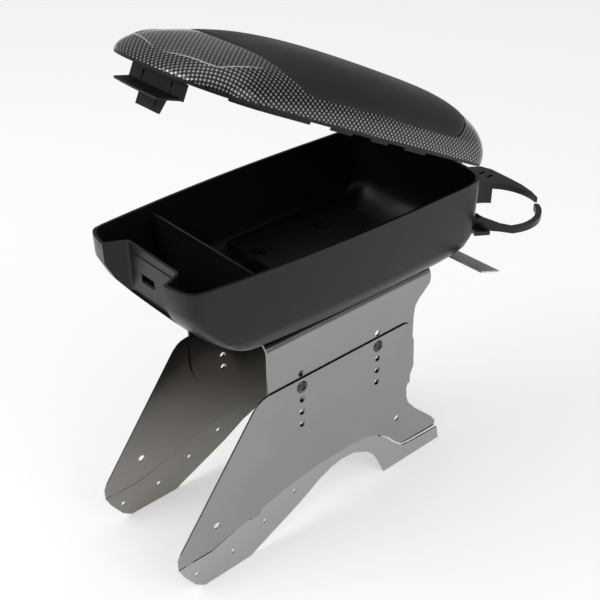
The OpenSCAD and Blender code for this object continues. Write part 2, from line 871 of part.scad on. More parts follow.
module cup_screws() {
    color("#8d8a84")
    for (x = cup_screw_x)
        translate([x, rear_y + fit_gap + flange_t, shelf_z - seat_drop / 2])
            rotate([-90, 0, 0]) {
                cylinder(r = 4, h = 2);
                translate([0, 0, -8])
                    cylinder(r = cup_screw_r, h = 9);
            }
}

// Broad arm: a beak-shaped plate whose inner edge follows the ring.
// Its outer edge is given from the ring's centre, from the tip round to the pivot.
beak_edge = [[20, 41.5], [7.3, 48.1], [-7.4, 52.8], [-26.8, 55.9], [-52.4, 58.8], [-64, 56],
             [-70, 48], [-76, 36], [-77, -10]];
beak_slots = [[-52.8, 44.4], [-42.5, 44.4]];
tab_from = 131;
tab_to = 170;
tab_t = 3.5;
tab_h = 22;

module beak_plan() {
    translate(beak_pivot)
        circle(r = beak_root - 1);
    difference() {
        polygon(concat([for (p = beak_edge) [ring_x, ring_y] + p],
                       [beak_pivot - [beak_root - 1, 0], beak_pivot + [beak_root - 1, 0],
                        [ring_x - 30, ring_y - 14], [ring_x - 20, ring_y + 20]]));
        translate([ring_x, ring_y])
            circle(r = ring_r, $fn = 96);
    }
}

// A band along the ring between two angles
module ring_band(from, to, thick) {
    intersection() {
        difference() {
            circle(r = ring_r + thick, $fn = 96);
            circle(r = ring_r, $fn = 96);
        }
        polygon(concat([[0, 0]],
                       [for (a = [from, (from + to) / 2, to]) 2 * ring_r * [cos(a), sin(a)]]));
    }
}

module cup_arm_left() {
    color("#2a2a2b")
    difference() {
        union() {
            translate([0, 0, arm_z - beak_t])
                linear_extrude(beak_t)
                    beak_plan();
            // Curved tab that hangs inside the ring and steadies the cup
            translate([ring_x, ring_y, arm_z - tab_h])
                linear_extrude(tab_h - 0.5)
                    ring_band(tab_from, tab_to, tab_t);
        }
        translate([beak_pivot.x, beak_pivot.y, arm_z - beak_t - 1])
            cylinder(r = cup_pin_r + pin_gap, h = beak_t + 2);
        for (p = beak_slots)
            translate([ring_x + p.x - 1.5, ring_y + p.y - 4, arm_z - beak_t - 1])
                cube([3, 8, beak_t + 2]);
    }
}

// Slim arm: a band that curls from its root block to a round tip
hoop_c = [ring_x + 7, ring_y - 5];
hoop_r = 39.7;
hoop_from = -30;
hoop_to = 56;
hoop_steps = 20;
hoop_root_out = [[6, -6], [19, -2], [26, 3.5]];
hoop_root_in = [[22, 8], [6, 6], [-2, 5]];
post_r = 10;
post_t = 3;

module hoop_plan() {
    arc = [for (i = [0 : hoop_steps]) hoop_from + (hoop_to - hoop_from) * i / hoop_steps];
    tip = hoop_c + hoop_r * [cos(hoop_to), sin(hoop_to)];
    polygon(concat(
        [for (p = hoop_root_out) hoop_pivot + p],
        [for (a = arc) hoop_c + (hoop_r + hoop_w / 2) * [cos(a), sin(a)]],
        [for (k = [30 : 30 : 150]) tip + hoop_w / 2 * [cos(hoop_to + k), sin(hoop_to + k)]],
        [for (i = [hoop_steps : -1 : 0]) hoop_c + (hoop_r - hoop_w / 2) * [cos(arc[i]), sin(arc[i])]],
        [for (p = hoop_root_in) hoop_pivot + p]));
}

module cup_arm_right() {
    color("#2a2a2b")
    difference() {
        union() {
            translate([0, 0, arm_z - hoop_t])
                linear_extrude(hoop_t)
                    hoop_plan();
            translate([hoop_pivot.x, hoop_pivot.y, arm_z - beak_t])
                cylinder(r = hoop_root, h = beak_t - 0.5);
            // Quarter disc that stands at the root
            intersection() {
                translate([hoop_pivot.x - 3.2, hoop_pivot.y + 2, arm_z - post_r + 2.5])
                    rotate([90, 0, 0])
                        cylinder(r = post_r, h = post_t, center = true);
                translate([hoop_pivot.x - 3.2, hoop_pivot.y - post_r, arm_z - hoop_t / 2])
                    cube([post_r, 2 * post_r, post_r]);
            }
        }
        translate([hoop_pivot.x, hoop_pivot.y, arm_z - beak_t - 1])
            cylinder(r = cup_pin_r + pin_gap, h = beak_t + 20);
    }
}

module cup_pins() {
    color("#a9a9a9")
    for (p = [beak_pivot, hoop_pivot])
        translate([p.x, p.y, shelf_z - 2]) {
            cylinder(r = cup_pin_r, h = shelf_t + beak_t + fit_gap + 2);
            translate([0, 0, -0.01])
                cylinder(r = cup_pin_r + 1.5, h = 2 - fit_gap);
        }
}

/* Strap under the box */
strap_y = rear_y - 25.5;
strap_z = saddle_top + 2.2;
strap_cut = 10;
strap_screw_x = 30;
strap_screw_r = 2;
strap_screw_l = 7;
strap_head_t = 1.8;

module cross_strap() {
    color("#b4b4b8")
    translate([0, 0, strap_z - strap_t])
        difference() {
            linear_extrude(strap_t)
                polygon([[strap_cut - strap_l / 2, strap_y], [strap_l / 2 - strap_cut, strap_y],
                         [strap_l / 2, strap_y + strap_w], [-strap_l / 2, strap_y + strap_w]]);
            for (x = [-strap_screw_x, strap_screw_x])
                translate([x, strap_y + strap_w / 2, -1])
                    cylinder(r = strap_screw_r + pin_gap, h = strap_t + 2);
        }
}

module strap_screw_bores() {
    for (x = [-strap_screw_x, strap_screw_x])
        translate([x, strap_y + strap_w / 2, strap_z - 1])
            cylinder(r = strap_screw_r + pin_gap, h = strap_screw_l + 1);
}

module strap_screws() {
    color("#8d8a84")
    for (x = [-strap_screw_x, strap_screw_x])
        translate([x, strap_y + strap_w / 2, strap_z - strap_t - strap_head_t]) {
            cylinder(r = 4, h = strap_head_t);
            cylinder(r = strap_screw_r, h = strap_head_t + strap_t + strap_screw_l - 0.5);
        }
}

box_tub();
divider();
saddle_bracket();
left_leg();
right_leg();
leg_screws();
leg_nuts();
deck_screws();
deck_nuts();
lid_shell();
lid_pad();
lid_base();
hinge_pins();
latch_lever();
latch_pin();
latch_spring();
cup_bracket();
cup_screws();
cup_arm_left();
cup_arm_right();
cup_pins();
cross_strap();
strap_screws();
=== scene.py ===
import json
import math

import bmesh
import bpy
import numpy as np
from mathutils import Matrix, Vector


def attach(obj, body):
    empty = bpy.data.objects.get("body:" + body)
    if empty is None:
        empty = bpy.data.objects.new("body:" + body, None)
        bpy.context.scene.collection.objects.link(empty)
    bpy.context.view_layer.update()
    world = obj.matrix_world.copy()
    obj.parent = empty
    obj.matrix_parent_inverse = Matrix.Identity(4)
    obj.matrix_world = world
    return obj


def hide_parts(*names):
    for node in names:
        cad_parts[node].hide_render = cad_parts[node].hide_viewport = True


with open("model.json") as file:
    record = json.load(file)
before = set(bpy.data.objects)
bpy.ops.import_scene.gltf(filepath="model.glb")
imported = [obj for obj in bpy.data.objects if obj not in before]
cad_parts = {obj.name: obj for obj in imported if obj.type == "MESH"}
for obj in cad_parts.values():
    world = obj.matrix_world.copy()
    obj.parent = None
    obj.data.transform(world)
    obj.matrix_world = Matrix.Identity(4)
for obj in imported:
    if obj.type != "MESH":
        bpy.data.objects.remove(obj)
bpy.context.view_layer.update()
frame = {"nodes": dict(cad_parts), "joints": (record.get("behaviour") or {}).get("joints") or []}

# Car centre armrest: the looks of the storage box, its carbon-look lid with a padded
# vinyl insert, the steel saddle and legs, and the cup holder behind the box.
# Lengths in the dictionaries are millimetres; meshes are in metres.

mm = 0.001
nodes = frame["nodes"]
joints = {joint["name"]: joint for joint in frame["joints"]}


# Camera

camera = {
    "place": (591.3, -544.7, 692.7),
    "azimuth": 49.06,
    "elevation": 32.27,
    "roll": -0.46,
    "lens": 60.3,
    "sensor": 36.0,
}


def addCamera(c):
    a, e, r = (math.radians(c[k]) for k in ("azimuth", "elevation", "roll"))
    back = Vector((math.sin(a) * math.cos(e), -math.cos(a) * math.cos(e), math.sin(e)))
    level = Vector((math.cos(a), math.sin(a), 0))
    upright = back.cross(level)
    right = math.cos(r) * level + math.sin(r) * upright
    up = math.cos(r) * upright - math.sin(r) * level
    data = bpy.data.cameras.new("camera")
    data.lens = c["lens"]
    data.sensor_width = c["sensor"]
    data.sensor_fit = "HORIZONTAL"
    data.clip_end = 20
    cam = bpy.data.objects.new("camera", data)
    bpy.context.scene.collection.objects.link(cam)
    cam.matrix_world = Matrix.Translation(Vector(c["place"]) * mm) @ Matrix(
        (right, up, back)).transposed().to_4x4()
    bpy.context.scene.camera = cam


addCamera(camera)
print("camera placed")


# Materials

def linear(hexText):
    parts = [int(hexText[i:i + 2], 16) / 255 for i in (1, 3, 5)]
    return [p / 12.92 if p <= 0.04045 else ((p + 0.055) / 1.055) ** 2.4 for p in parts] + [1.0]


# A node with its settings; an input is a value, or a link from another node's socket
def addNode(tree, kind, inputs=None, **settings):
    made = tree.nodes.new(kind)
    for name, value in settings.items():
        setattr(made, name, value)
    for name, value in (inputs or {}).items():
        if isinstance(value, bpy.types.NodeSocket):
            tree.links.new(value, made.inputs[name])
        else:
            made.inputs[name].default_value = value
    return made


def newMaterial(name, **values):
    mat = bpy.data.materials.new(name)
    mat.use_nodes = True
    shader = mat.node_tree.nodes["Principled BSDF"]
    for socket, value in values.items():
        shader.inputs[socket.replace("_", " ")].default_value = value
    return mat, mat.node_tree, shader


def wire(tree, source, shader, socket):
    tree.links.new(source, shader.inputs[socket])


# Fine bump on Object coordinates over a colour and a roughness that wander a little.
# grain, cloud and swell are the sizes of one mark, one patch and one wave, in millimetres.
# The last argument paints shade: it darkens the colour between two values of a line that
# climbs to the rear and the top.
def grainMaterial(name, base, lighter, rough, roughRange, grain, depth, metallic=0.0,
                  cloud=60.0, specular=0.5, swell=70.0, wave=0.0, paintedShade=None):
    mat, tree, shader = newMaterial(name, Metallic=metallic, Specular_IOR_Level=specular)
    place = addNode(tree, "ShaderNodeTexCoord").outputs["Object"]
    patch = addNode(tree, "ShaderNodeTexNoise", {"Vector": place, "Scale": 1 / (cloud * mm),
                                                 "Detail": 4.0}).outputs["Fac"]
    fine = addNode(tree, "ShaderNodeTexNoise", {"Vector": place, "Scale": 1 / (grain * mm),
                                                "Detail": 3.0}).outputs["Fac"]
    colour = addNode(tree, "ShaderNodeMix", {"Factor": patch, "A": linear(base),
                                             "B": linear(lighter)}, data_type="RGBA")
    spread = addNode(tree, "ShaderNodeMapRange", {"Value": patch, "From Min": 0.3, "From Max": 0.7,
                                                  "To Min": rough - roughRange,
                                                  "To Max": rough + roughRange})
    slow = addNode(tree, "ShaderNodeTexNoise", {"Vector": place, "Scale": 1 / (swell * mm),
                                                "Detail": 0.0}).outputs["Fac"]
    bow = addNode(tree, "ShaderNodeBump", {"Height": slow, "Distance": wave * mm,
                                           "Strength": 1.0})
    bump = addNode(tree, "ShaderNodeBump", {"Height": fine, "Distance": depth * mm,
                                            "Strength": 1.0, "Normal": bow.outputs["Normal"]})
    tint = colour.outputs["Result"]
    # Painted shade: the colour turns darker towards the top and the rear
    if paintedShade:
        parts = addNode(tree, "ShaderNodeSeparateXYZ", {"Vector": place})
        slant = addNode(tree, "ShaderNodeMath", {0: parts.outputs["Y"], 1: 0.5,
                                                 2: parts.outputs["Z"]}, operation="MULTIPLY_ADD")
        rise = addNode(tree, "ShaderNodeMapRange", {
            "Value": slant.outputs[0], "From Min": paintedShade["from"] * mm, "From Max": paintedShade["to"] * mm},
            interpolation_type="SMOOTHSTEP")
        tint = addNode(tree, "ShaderNodeMix", {"Factor": rise.outputs["Result"], "A": tint,
                                               "B": linear(paintedShade["colour"])},
                       data_type="RGBA").outputs["Result"]
    wire(tree, tint, shader, "Base Color")
    wire(tree, spread.outputs["Result"], shader, "Roughness")
    wire(tree, bump.outputs["Normal"], shader, "Normal")
    return mat


# ABS, injection moulded and lightly sparked: near black, with thin pale lines at its edges
boxAbs = grainMaterial("satin_black_abs", "#151413", "#191817", 0.3, 0.04, 0.9, 0.01,
                       specular=0.3)
# The same plastic inside the lid, a little duller
linerAbs = grainMaterial("matte_black_abs", "#121211", "#181817", 0.42, 0.05, 1.2, 0.02,
                         specular=0.3)
# The cup holder's plastic comes greyer out of its mould
holderAbs = grainMaterial("charcoal_abs", "#181819", "#1f1f20", 0.38, 0.06, 1.4, 0.03,
                          specular=0.4)
# Vinyl over foam: a fine leather grain with a dull sheen
padVinyl = grainMaterial("black_vinyl", "#1c1b19", "#22211f", 0.52, 0.05, 1.1, 0.07,
                         specular=0.35)
# Sheet steel with dark nickel plate: a smooth, smoky mirror that the rolling left a little wavy
nickelSteel = grainMaterial("dark_nickel_steel", "#8f8e8c", "#9b9a98", 0.17, 0.04, 1.5, 0.002,
                            metallic=1.0, swell=90.0, wave=0.5)
# The same plate on the leaning strips, lighter by a painted reflection that makes them look
# paler than the sheet above them
paintedSheenNickel = grainMaterial("nickel_steel_painted_sheen", "#a3a2a4", "#adabad", 0.2, 0.04, 1.5, 0.002,
                           metallic=1.0, swell=90.0, wave=0.5)
# The same plate on faces turned inwards or up, with painted shade and painted dark
# reflections: darker near the saddle, paler towards the feet
paintedShadeNickel = grainMaterial("nickel_steel_painted_shade", "#8a8781", "#93908a", 0.17, 0.04, 1.5, 0.002,
                           metallic=1.0, swell=90.0, wave=0.5,
                           paintedShade={"colour": "#3b3733", "from": -60.0, "to": 80.0})
# Zinc plate on the strap: pale and a little cloudy
zincSteel = grainMaterial("zinc_plated_steel", "#b9b9bd", "#c6c6ca", 0.3, 0.06, 1.5, 0.004,
                          metallic=1.0)
# Blackened screws in the steel, with worn tops
blackScrew = grainMaterial("blackened_steel", "#4c4a48", "#5d5b58", 0.3, 0.06, 1.0, 0.006,
                           metallic=1.0, cloud=5.0)
screwSteel = grainMaterial("plated_screw_steel", "#8b8882", "#9a968f", 0.28, 0.05, 1.0, 0.004,
                           metallic=1.0)

# Painted highlight along the crease's edge: a thin, pale, glossy line that stands for the light
# the edge catches
paintedCreaseHighlight = grainMaterial("painted_crease_highlight", "#c4c4c6", "#d0d0d2", 0.25, 0.05, 1.0, 0.004)

# Rows of tow ends, in millimetres: pitch along a row, and the width of the pale mark's edge
weave = {"pitch": 4.7, "dark": "#060607", "light": "#a4a4a8", "from": 0.1, "to": 0.55,
         "metallic": 0.7, "relief": 0.05}


# Printed film under clear lacquer: pale tow ends in staggered rows, one each pitch.
# The product of two cosines peaks at the ends, and a steep ramp cuts them out.
def carbonMaterial(w):
    mat, tree, shader = newMaterial("carbon_film_lacquer", Roughness=0.3, Coat_Weight=0.45,
                                    Coat_Roughness=0.08, Coat_IOR=1.5, Specular_IOR_Level=0.15)
    uv = addNode(tree, "ShaderNodeUVMap", uv_map="surface")
    parts = addNode(tree, "ShaderNodeSeparateXYZ", {"Vector": uv.outputs["UV"]})
    waves = []
    for axis in ("X", "Y"):
        turn = addNode(tree, "ShaderNodeMath", {0: parts.outputs[axis],
                                                1: 2 * math.pi / w["pitch"]}, operation="MULTIPLY")
        waves.append(addNode(tree, "ShaderNodeMath", {0: turn.outputs[0]},
                             operation="COSINE").outputs[0])
    ends = addNode(tree, "ShaderNodeMath", {0: waves[0], 1: waves[1]}, operation="MULTIPLY")
    cut = addNode(tree, "ShaderNodeMapRange", {"Value": ends.outputs[0], "From Min": w["from"],
                                               "From Max": w["to"]},
                  interpolation_type="SMOOTHSTEP")
    colour = addNode(tree, "ShaderNodeMix", {"Factor": cut.outputs["Result"],
                                             "A": linear(w["dark"]), "B": linear(w["light"])},
                     data_type="RGBA")
    sheen = addNode(tree, "ShaderNodeMapRange", {"Value": cut.outputs["Result"], "To Min": 0.0,
                                                 "To Max": w["metallic"]})
    bump = addNode(tree, "ShaderNodeBump", {"Height": cut.outputs["Result"],
                                            "Distance": w["relief"] * mm, "Strength": 0.6})
    wire(tree, colour.outputs["Result"], shader, "Base Color")
    wire(tree, sheen.outputs["Result"], shader, "Metallic")
    wire(tree, bump.outputs["Normal"], shader, "Normal")
    return mat


carbonFilm = carbonMaterial(weave)
print("materials made")


# Rigid pieces that keep their CAD shape, with softened edges

# A copy of a node's mesh, merged, without the normals and sharp marks it was packed with
def mergedCopy(node):
    mesh = nodes[node].data.copy()
    for name in ("custom_normal", "sharp_face", "sharp_edge"):
        if name in mesh.attributes:
            mesh.attributes.remove(mesh.attributes[name])
    bm = bmesh.new()
    bm.from_mesh(mesh)
    bmesh.ops.remove_doubles(bm, verts=bm.verts, dist=1e-6)
    bm.normal_update()
    return mesh, bm


# Edges that turn by less than an angle are smooth, the others sharp
def smoothByAngle(obj, degrees):
    mesh = obj.data
    mesh.shade_smooth()
    bm = bmesh.new()
    bm.from_mesh(mesh)
    for edge in bm.edges:
        faces = edge.link_faces
        edge.smooth = len(faces) == 2 and faces[0].normal.angle(faces[1].normal, 0) \
            < math.radians(degrees)
    bm.to_mesh(mesh)
    bm.free()


def applyModifiers(obj):
    bpy.context.view_layer.update()
    done = bpy.data.meshes.new_from_object(
        obj.evaluated_get(bpy.context.evaluated_depsgraph_get()))
    obj.modifiers.clear()
    obj.data = done


edges = {"flat": 0.5, "sharp": 32, "segments": 2}  # angles in degrees


# A merged copy of a CAD node whose sharp edges carry a small round of that width
def softened(node, material, width, body):
    mesh, bm = mergedCopy(node)
    bmesh.ops.dissolve_limit(bm, angle_limit=math.radians(edges["flat"]), verts=bm.verts,
                             edges=bm.edges)
    bm.to_mesh(mesh)
    bm.free()
    mesh.materials.clear()
    mesh.materials.append(material)
    mesh.shade_smooth()
    obj = bpy.data.objects.new(node + "_finished", mesh)
    bpy.context.scene.collection.objects.link(obj)
    edge = obj.modifiers.new("edge", "BEVEL")
    edge.width = width * mm
    edge.segments = edges["segments"]
    edge.limit_method = "ANGLE"
    edge.angle_limit = math.radians(edges["sharp"])
    even = obj.modifiers.new("even", "WEIGHTED_NORMAL")
    even.weight = 50
    applyModifiers(obj)
    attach(obj, body)
    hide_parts(node)
    return obj


# Each node's material, the width of its edges' round, its body and its slot
finishes = {
    "box_tub": (boxAbs, 0.7, "base", "black_abs"),
    "divider": (boxAbs, 0.4, "base", "black_abs"),
    "leg_screws": (blackScrew, 0.2, "base", "screw_steel"),
    "leg_nuts": (screwSteel, 0.2, "base", "screw_steel"),
    "deck_screws": (screwSteel, 0.2, "base", "screw_steel"),
    "deck_nuts": (screwSteel, 0.2, "base", "screw_steel"),
    "lid_base": (linerAbs, 0.4, "lid", "black_abs"),
    "latch_lever": (linerAbs, 0.35, "latch", "black_abs"),
    "cup_bracket": (holderAbs, 0.4, "base", "cup_holder_abs"),
    "cup_arm_left": (holderAbs, 0.8, "broad_arm", "cup_holder_abs"),
    "cup_arm_right": (holderAbs, 0.8, "slim_arm", "cup_holder_abs"),
}
for name, (material, width, body, slot) in finishes.items():
    softened(name, material, width, body)


# Sheared sheet steel keeps its sharp edges: a merged copy, smooth only over bends of small
# steps. The three plates are for upright faces, for leaning ones with a painted lighter
# reflection, and for those turned in or up with painted shade.
def makeSheet(node, plates, bend):
    mesh, bm = mergedCopy(node)
    mesh.materials.clear()
    for plate in plates:
        mesh.materials.append(plate)
    for face in bm.faces:
        inward = face.normal.x * face.calc_center_median().x < 0
        leaning = 0.05 < abs(face.normal.z) < 0.3
        # Leaning faces take the plate with the painted lighter reflection, faces turned in or up
        # the one with painted shade
        face.material_index = 2 if inward or face.normal.z > 0.6 else int(leaning)
    bm.to_mesh(mesh)
    bm.free()
    obj = bpy.data.objects.new(node + "_finished", mesh)
    bpy.context.scene.collection.objects.link(obj)
    smoothByAngle(obj, bend)
    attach(obj, "base")
    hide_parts(node)


for name, plates, bend, slot in (
        ("saddle_bracket", (nickelSteel, nickelSteel, paintedShadeNickel), 30, "dark_nickel_steel"),
        ("left_leg", (nickelSteel, paintedSheenNickel, paintedShadeNickel), 4, "dark_nickel_steel"),
        ("right_leg", (nickelSteel, paintedSheenNickel, paintedShadeNickel), 4, "dark_nickel_steel"),
        ("cross_strap", (zincSteel,) * 3, 30, "zinc_steel")):
    makeSheet(name, plates, bend)

for name in ("hinge_pins", "latch_pin", "latch_spring", "cup_screws", "cup_pins", "strap_screws"):
    nodes[name].data.materials.clear()
    nodes[name].data.materials.append(screwSteel)
print("rigid pieces finished")


# Lid

lid = {
    "frontY": -204.5, "rearY": 127.5, "wideY": 10.0, "halfWidth": 84.3, "frontTaper": 13.8,
    "rearTaper": 1.5, "out": 0.5, "nose": 10.5, "heel": 2.5, "crown": 46.5, "base": 2.5,
    "frontEnd": (52.0, 2.6), "rearEnd": (40.0, 2.5), "seat": 6.0, "rim": 303.8,
    "padFront": 54.0, "padRear": 32.0, "padEnds": ((46.0, 3.0), (46.0, 2.4)), "padInset": 3.5,
    "middle": (0.0, -25.0),
    "crease": ((6, -204), (25.5, -199.3), (43.6, -195.1), (52.3, -190.9), (56.9, -175.1),
               (60.4, -158.3)),
    "creaseHeight": 1.3, "creaseReach": 6.0, "hairline": 0.45, "steps": (70, 100),
    "edge": 0.7, "wall": 2.6, "lip": 3.0,
}
hinge = joints["lid_hinge"]
openAngle = -math.radians(hinge["range_deg"][0])
hingeY, hingeZ = (v / mm for v in hinge["pos_m"][1:])


# The rim narrows with the square of the distance from the widest place
def halfWidth(y, inset):
    front = lid["halfWidth"] - inset - lid["frontTaper"] * ((lid["wideY"] - y) / 214.5) ** 2
    rear = lid["halfWidth"] - inset - lid["rearTaper"] * ((y - lid["wideY"]) / 117.5) ** 2
    return np.where(y < lid["wideY"], front, rear)


# A plan outline, counter-clockwise: superellipse ends joined by the tapered sides
def planRing(front, frontEnd, rear, rearEnd, inset):
    corner, side = lid["steps"]
    a = np.linspace(0, np.pi / 2, corner, endpoint=False)
    yFront = front + frontEnd[0] * (1 - np.cos(a) ** (2 / frontEnd[1]))
    xFront = halfWidth(yFront, inset) * np.sin(a) ** (2 / frontEnd[1])
    ySide = np.linspace(front + frontEnd[0], rear - rearEnd[0], side)
    b = np.linspace(0, np.pi / 2, corner + 1)[1:]
    yRear = rear - rearEnd[0] * (1 - np.sin(b) ** (2 / rearEnd[1]))
    xRear = halfWidth(yRear, inset) * np.cos(b) ** (2 / rearEnd[1])
    xRear[-1] = 0
    right = np.stack([np.r_[xFront, halfWidth(ySide, inset), xRear],
                      np.r_[yFront, ySide, yRear]], 1)
    left = right[-2:0:-1] * [-1, 1]
    return np.vstack([right, left])


# Height of the lid along its middle: superellipse arcs fall to the nose and the heel
def crown(y, top):
    nose = lid["frontY"] - lid["nose"]
    heel = lid["rearY"] + lid["heel"]
    front = top * np.clip(1 - np.clip((-5 - y) / (-5 - nose), 0, 1) ** 2.8, 0, 1) ** 0.75
    rear = top * np.clip(1 - np.clip((y - 40) / (heel - 40), 0, 1) ** 2.8, 0, 1) ** 0.5
    return np.where(y < -5, front, np.where(y < 40, top, rear))


# Half the lid's width, with the superellipse ends of its plan outline
def lidHalf(y, inset):
    nose = lid["frontY"] - lid["nose"] + inset
    heel = lid["rearY"] + lid["heel"] - inset
    (fl, fp), (rl, rp) = lid["frontEnd"], lid["rearEnd"]
    t = np.where(y < nose + fl, (nose + fl - y) / fl,
                 np.where(y > heel - rl, (y - heel + rl) / rl, 0))
    power = np.where(y < lid["wideY"], fp, rp)
    end = np.clip(1 - np.clip(t, 0, 1) ** power, 0, 1) ** (1 / power)
    return halfWidth(y, inset - lid["out"]) * end


# A ridge with an exponential fall on each side, along the crease on both halves
def creaseLift(x, y):
    far = np.full(np.shape(x), 1e9)
    points = np.array(lid["crease"], float)
    for p, q in zip(points[:-1], points[1:]):
        d = q - p
        t = np.clip(((np.abs(x) - p[0]) * d[0] + (y - p[1]) * d[1]) / (d @ d), 0, 1)
        far = np.minimum(far, np.hypot(np.abs(x) - p[0] - t * d[0], y - p[1] - t * d[1]))
    return lid["creaseHeight"] * np.exp(-far / lid["creaseReach"])


# The crown's height, times a flat-topped arch across the lid
def lidHeight(x, y, inset, top):
    w = np.maximum(lidHalf(y, inset), 0.01)
    return crown(y, top) * np.sqrt(np.clip(1 - np.clip(np.abs(x) / w, 0, 1) ** 3.4, 0, 1))


def shellHeight(x, y):
    h = lidHeight(x, y, 0, lid["crown"] - lid["base"])
    return lid["base"] + h + creaseLift(x, y) * np.clip(h / 4, 0, 1)


# From the closed lid's own millimetres to the open lid in metres
def onLid(points):
    x, y, z = points[:, 0], points[:, 1] - hingeY, points[:, 2] + lid["rim"] - hingeZ
    c, s = math.cos(openAngle), math.sin(openAngle)
    return np.stack([x, hingeY + y * c + z * s, hingeZ - y * s + z * c], 1) * mm


# A closed skin over rings of equal count, each end closed by a fan to its middle
def skinMesh(name, rings, material):
    m, n = len(rings), len(rings[0])
    flat = np.vstack(rings)
    points = np.vstack([flat, rings[0].mean(0), rings[-1].mean(0)])
    i, j = np.meshgrid(np.arange(m - 1), np.arange(n), indexing="ij")
    k = (j + 1) % n
    quads = np.stack([i * n + j, i * n + k, (i + 1) * n + k, (i + 1) * n + j], -1).reshape(-1, 4)
    j = np.arange(n)
    k = (j + 1) % n
    start = np.stack([k, j, np.full(n, m * n)], 1)
    end = np.stack([(m - 1) * n + j, (m - 1) * n + k, np.full(n, m * n + 1)], 1)
    mesh = bpy.data.meshes.new(name)
    mesh.from_pydata(onLid(points).tolist(), [],
                     quads.tolist() + start.tolist() + end.tolist())
    mesh.materials.append(material)
    mesh.validate()
    mesh.update()
    obj = bpy.data.objects.new(name, mesh)
    bpy.context.scene.collection.objects.link(obj)
    return obj, points


def toward(p, q, t):
    return p + (q - p) * t


def lifted(plan, heights):
    return np.column_stack([plan, heights])


padRing = planRing(lid["frontY"] + lid["padFront"], lid["padEnds"][0],
                   lid["rearY"] - lid["padRear"], lid["padEnds"][1],
                   lid["padInset"] - lid["out"])
lidRing = planRing(lid["frontY"] - lid["nose"], lid["frontEnd"], lid["rearY"] + lid["heel"],
                   lid["rearEnd"], -lid["out"])
innerRing = planRing(lid["frontY"] - lid["nose"] + lid["lip"], lid["frontEnd"],
                     lid["rearY"] + lid["heel"] - lid["lip"], lid["rearEnd"],
                     lid["lip"] - lid["out"])
middle = np.array(lid["middle"])


# Arc lengths over the lid, in millimetres: across from the middle line, and along
def surfaceUv(points):
    steps = 60
    x, y = points[:, 0], points[:, 1]
    t = np.linspace(0, 1, steps)[:, None]
    across = np.sum(np.hypot(np.diff(x * t, axis=0), np.diff(
        lidHeight(x * t, np.broadcast_to(y, (steps, len(y))), 0, lid["crown"]), axis=0)), axis=0)
    yLine = middle[1] + (y - middle[1]) * t
    along = np.sum(np.hypot(np.diff(yLine, axis=0), np.diff(
        lidHeight(np.broadcast_to(x, (steps, len(x))), yLine, 0, lid["crown"]), axis=0)), axis=0)
    return np.stack([across * np.sign(x), along * np.sign(y - middle[1])], 1)


def makeShell():
    rings = []
    for t in (0.3, 0.6, 0.85, 1.0):
        p = toward(middle, padRing, t)
        rings.append(lifted(p, shellHeight(p[:, 0], p[:, 1]) - lid["seat"]))
    # The edge over the seat is rounded, then the outer surface runs down to the rim
    rings.append(lifted(padRing, shellHeight(padRing[:, 0], padRing[:, 1]) - lid["edge"]))
    outer = np.r_[0.02, np.linspace(0.06, 0.92, 60), 0.94, 0.96, 0.975, 0.987, 0.996, 1.0]
    for t in outer:
        p = toward(padRing, lidRing, t)
        rings.append(lifted(p, shellHeight(p[:, 0], p[:, 1])))
    rings.append(lifted(innerRing, np.full(len(innerRing), lid["base"])))
    for t in (0.97, 0.9, 0.75, 0.4):
        p = toward(middle, innerRing, t)
        h = lidHeight(p[:, 0], p[:, 1], lid["lip"], lid["crown"]) - lid["seat"] - lid["wall"]
        rings.append(lifted(p, np.maximum(h, lid["base"])))
    obj, points = skinMesh("lid_shell_finished", rings, carbonFilm)
    uv = surfaceUv(points)
    layer = obj.data.uv_layers.new(name="surface")
    corners = np.zeros(len(obj.data.loops), int)
    obj.data.loops.foreach_get("vertex_index", corners)
    layer.data.foreach_set("uv", uv[corners].ravel())
    smoothByAngle(obj, 40)
    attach(obj, "lid")
    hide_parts("lid_shell")


makeShell()
print("lid shell made")


# A painted highlight along the crease's edge, a pale hairline: a thin tube along its points on
# the shell, whose radius falls to nothing at both ends
def makeCreaseHighlight():
    lineSteps = 60
    points = np.array(lid["crease"], float)
    t = np.linspace(0, len(points) - 1, lineSteps)
    path = np.column_stack([np.interp(t, np.arange(len(points)), points[:, k]) for k in (0, 1)])
    for _ in range(3):
        path[1:-1] = (path[:-2] + path[1:-1] + path[2:]) / 3
    line = lifted(path, shellHeight(path[:, 0], path[:, 1]))
    along = np.gradient(line, axis=0)
    along /= np.linalg.norm(along, axis=1)[:, None]
    side = np.cross(along, (0, 0, 1))
    side /= np.linalg.norm(side, axis=1)[:, None]
    up = np.cross(side, along)
    radius = lid["hairline"] * np.sqrt(np.sin(np.linspace(0.02, math.pi - 0.02, lineSteps)))
    turn = np.linspace(0, 2 * math.pi, 8, endpoint=False)
    rings = line[:, None] + radius[:, None, None] * (
        np.cos(turn)[None, :, None] * side[:, None] + np.sin(turn)[None, :, None] * up[:, None])
    for name, flip in (("lid_crease_highlight_right", 1), ("lid_crease_highlight_left", -1)):
        obj, _ = skinMesh(name, list(rings[::flip] * (flip, 1, 1)), paintedCreaseHighlight)
        obj.data.shade_smooth()
        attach(obj, "lid")


makeCreaseHighlight()


# Padded insert

# gap, under and over are the pad's distances from its seat's side, its floor and the shell's
# own surface; voxel to spread are the swelling's; lengths in millimetres
pad = {"gap": 0.35, "under": 0.4, "over": 0.5, "rise": 0.8, "rings": 26,
       "voxel": 5.0, "pressure": 4.0, "frames": 20, "cap": 2.4, "spread": 7.0, "upright": 0.45}


